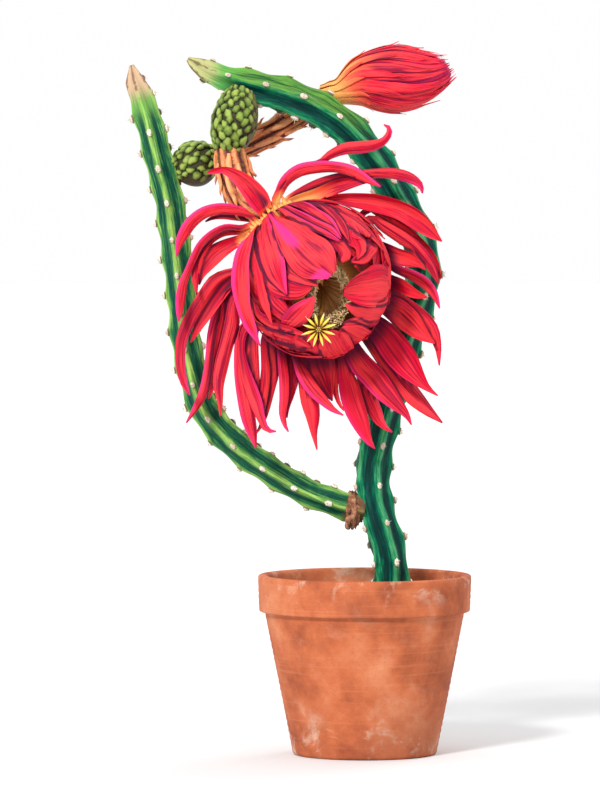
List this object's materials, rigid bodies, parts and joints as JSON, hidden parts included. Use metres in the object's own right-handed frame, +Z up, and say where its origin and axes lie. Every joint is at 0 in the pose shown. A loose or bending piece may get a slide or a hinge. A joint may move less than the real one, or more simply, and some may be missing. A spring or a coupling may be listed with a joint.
{
  "type": "potted flowering cactus",
  "caption": "Potted night-blooming cactus with ribbed arching stems, a large many-petalled red bloom, a red bud and knobbly green ovaries in a plain clay pot",
  "frame": {"origin": "centre of the pot's underside, on the surface that it stands on", "axes": "+Z up, the way the stems grow; the bloom faces -Y, and the bud points along +X"},
  "size_m": [0.2262, 0.1771, 0.466],
  "materials": {
    "clay": "matte unglazed clay",
    "soil": "rough crumbly potting soil",
    "main_stem": "waxy green skin, satin",
    "side_stem": "waxy green skin, satin",
    "ovary": "waxy tubercles, satin",
    "tube": "dry ribbed skin, matte",
    "petal": "silky petals, soft sheen",
    "stamens": "powdery anthers, matte",
    "stigma": "soft, matte"
  },
  "bodies": {
    "root": {"pot": "clay", "soil": "soil", "main_stem": "main_stem", "side_stem": "side_stem", "bloom_ovary": "ovary", "bloom_tube": "tube", "bloom_petals": "petal", "bloom_stamens": "stamens", "bloom_stigma": "stigma", "bud_ovary": "ovary", "bud_tube": "tube", "bud_petals": "petal"}
  },
  "joints": []
}
